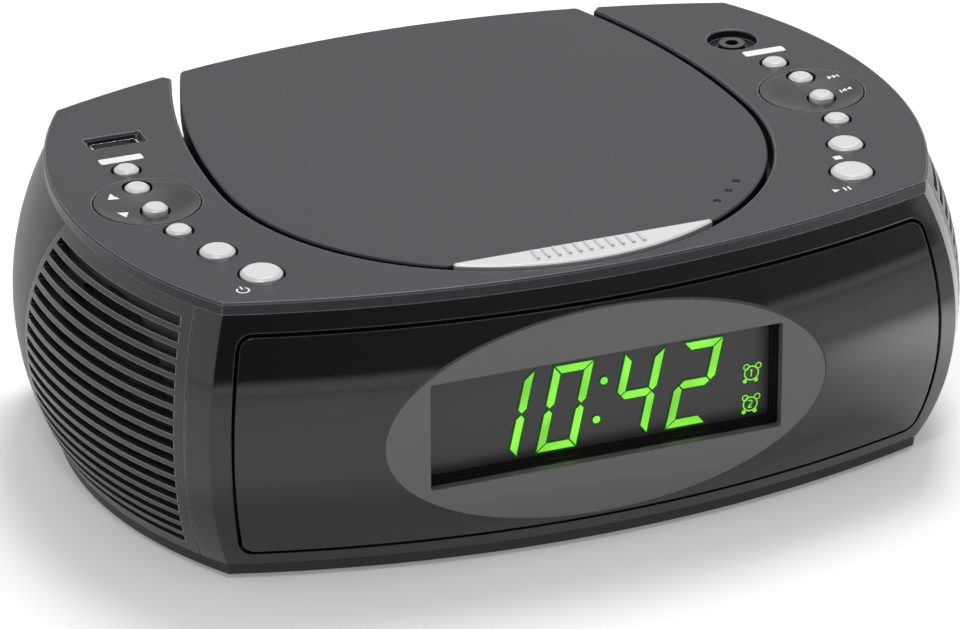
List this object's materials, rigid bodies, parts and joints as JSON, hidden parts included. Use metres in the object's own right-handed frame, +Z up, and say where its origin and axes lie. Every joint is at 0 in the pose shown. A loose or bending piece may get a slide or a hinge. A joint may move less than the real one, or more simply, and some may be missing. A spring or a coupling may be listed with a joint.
{
  "type": "cd clock radio",
  "caption": "Bedside clock radio with a top-loading disc player, lit digits, side speakers behind louvres and push buttons on a bowed body.",
  "frame": {"origin": "centre of the body's box, on the table", "axes": "+X to the right as seen from the front, +Y to the back, +Z up"},
  "size_m": [0.257, 0.1744, 0.0828],
  "materials": {
    "charcoal_plastic": "satin",
    "dark_plastic": "satin",
    "black_gloss": "gloss",
    "black_plastic": "satin",
    "smoked_panel": "gloss",
    "lit_segments": "gloss",
    "circuit_board": "satin",
    "plated_steel": "satin",
    "polished_steel": "polished",
    "black_rubber": "matte",
    "socket_tongue": "matte",
    "silver_plastic": "satin",
    "clear_lens": "polished",
    "gear_plastic": "satin",
    "paper_cone": "matte",
    "ferrite": "matte",
    "dish_gloss": "gloss"
  },
  "bodies": {
    "body": {"top_panel": "charcoal_plastic", "housing_shell": "charcoal_plastic", "base_tray": "dark_plastic", "front_fascia": "black_gloss", "lens_panel": "black_gloss", "display_bezel": "black_plastic", "display_filter": "smoked_panel", "lit_digits": "lit_segments", "led_module": "black_plastic", "display_board": "circuit_board", "cd_well": "black_plastic", "lid_latch": "black_plastic", "snooze_switch": "black_plastic", "mechanism_chassis": "plated_steel", "damper_bushes": "black_rubber", "spindle_motor": "plated_steel", "guide_rods": "polished_steel", "sled_motor": "plated_steel", "main_board": "circuit_board", "transformer": "plated_steel", "power_inlet": "black_plastic", "usb_socket": "polished_steel", "usb_tongue": "socket_tongue", "phone_jack": "black_plastic", "feet": "black_rubber", "base_screws": "plated_steel", "battery_contacts": "polished_steel", "speaker_grille_right": "charcoal_plastic", "speaker_basket_right": "plated_steel", "speaker_cone_right": "paper_cone", "speaker_magnet_right": "ferrite", "control_dish_right": "dish_gloss", "button_board_right": "circuit_board", "speaker_grille_left": "charcoal_plastic", "speaker_basket_left": "plated_steel", "speaker_cone_left": "paper_cone", "speaker_magnet_left": "ferrite", "control_dish_left": "dish_gloss", "button_board_left": "circuit_board"},
    "lid": {"lid": "charcoal_plastic", "hinge_pins": "polished_steel"},
    "snooze": {"snooze_bar": "silver_plastic"},
    "turntable": {"disc_hub": "black_plastic", "hub_balls": "polished_steel"},
    "pickup": {"pickup_sled": "black_plastic", "pickup_lens": "clear_lens"},
    "feed_gear": {"sled_gear": "gear_plastic"},
    "battery_hatch": {"battery_door": "dark_plastic"},
    "alarm_one_button": {"button_alarm_one": "silver_plastic"},
    "alarm_two_button": {"button_alarm_two": "silver_plastic"},
    "volume_up_button": {"button_volume_up": "silver_plastic"},
    "tune_up_button": {"button_tune_up": "silver_plastic"},
    "volume_down_button": {"button_volume_down": "silver_plastic"},
    "tune_down_button": {"button_tune_down": "silver_plastic"},
    "clock_button": {"button_clock": "silver_plastic"},
    "mode_button": {"button_mode": "silver_plastic"},
    "source_button": {"button_source": "silver_plastic"},
    "sleep_button": {"button_sleep": "silver_plastic"},
    "power_button": {"button_power": "silver_plastic"},
    "play_button": {"button_play": "silver_plastic"}
  },
  "joints": [
    {"name": "lid_hinge", "type": "hinge", "parent": "body", "child": "lid", "pos_m": [0, 0.0659, 0.0761], "axis": [-1, 0, 0], "range_deg": [0, 60]},
    {"name": "snooze_press", "type": "slide", "parent": "body", "child": "snooze", "axis": [0, 0, -1], "range_m": [0, 0.0012], "stiffness_N_per_m": 600, "springref_m": -0.0006},
    {"name": "disc_spin", "type": "hinge", "parent": "body", "child": "turntable", "pos_m": [0, -0.0041, 0.0685], "axis": [0, 0, 1], "continuous": true},
    {"name": "pickup_feed", "type": "slide", "parent": "body", "child": "pickup", "axis": [0, -1, 0], "range_m": [0, 0.028]},
    {"name": "feed_gear_turn", "type": "hinge", "parent": "body", "child": "feed_gear", "pos_m": [0.0231, -0.0321, 0.05], "axis": [0, 0, 1], "range_deg": [0, 229.2]},
    {"name": "battery_hatch_slide", "type": "slide", "parent": "body", "child": "battery_hatch", "axis": [0, 1, 0], "range_m": [0, 0.03]},
    {"name": "alarm_one_press", "type": "slide", "parent": "body", "child": "alarm_one_button", "axis": [0, 0, -1], "range_m": [0, 0.0012], "stiffness_N_per_m": 300, "springref_m": -0.0004},
    {"name": "alarm_two_press", "type": "slide", "parent": "body", "child": "alarm_two_button", "axis": [0, 0, -1], "range_m": [0, 0.0012], "stiffness_N_per_m": 300, "springref_m": -0.0004},
    {"name": "volume_up_press", "type": "slide", "parent": "body", "child": "volume_up_button", "axis": [0, 0, -1], "range_m": [0, 0.0012], "stiffness_N_per_m": 300, "springref_m": -0.0004},
    {"name": "tune_up_press", "type": "slide", "parent": "body", "child": "tune_up_button", "axis": [0, 0, -1], "range_m": [0, 0.0012], "stiffness_N_per_m": 300, "springref_m": -0.0004},
    {"name": "volume_down_press", "type": "slide", "parent": "body", "child": "volume_down_button", "axis": [0, 0, -1], "range_m": [0, 0.0012], "stiffness_N_per_m": 300, "springref_m": -0.0004},
    {"name": "tune_down_press", "type": "slide", "parent": "body", "child": "tune_down_button", "axis": [0, 0, -1], "range_m": [0, 0.0012], "stiffness_N_per_m": 300, "springref_m": -0.0004},
    {"name": "clock_press", "type": "slide", "parent": "body", "child": "clock_button", "axis": [0, 0, -1], "range_m": [0, 0.0012], "stiffness_N_per_m": 300, "springref_m": -0.0004},
    {"name": "mode_press", "type": "slide", "parent": "body", "child": "mode_button", "axis": [0, 0, -1], "range_m": [0, 0.0012], "stiffness_N_per_m": 300, "springref_m": -0.0004},
    {"name": "source_press", "type": "slide", "parent": "body", "child": "source_button", "axis": [0, 0, -1], "range_m": [0, 0.0012], "stiffness_N_per_m": 300, "springref_m": -0.0004},
    {"name": "sleep_press", "type": "slide", "parent": "body", "child": "sleep_button", "axis": [0, 0, -1], "range_m": [0, 0.0012], "stiffness_N_per_m": 300, "springref_m": -0.0004},
    {"name": "power_press", "type": "slide", "parent": "body", "child": "power_button", "axis": [0, 0, -1], "range_m": [0, 0.0012], "stiffness_N_per_m": 300, "springref_m": -0.0004},
    {"name": "play_press", "type": "slide", "parent": "body", "child": "play_button", "axis": [0, 0, -1], "range_m": [0, 0.0012], "stiffness_N_per_m": 300, "springref_m": -0.0004}
  ],
  "couplings": [
    {"joint": "feed_gear_turn", "follows": "pickup_feed", "rad_per_m": 142.86}
  ]
}
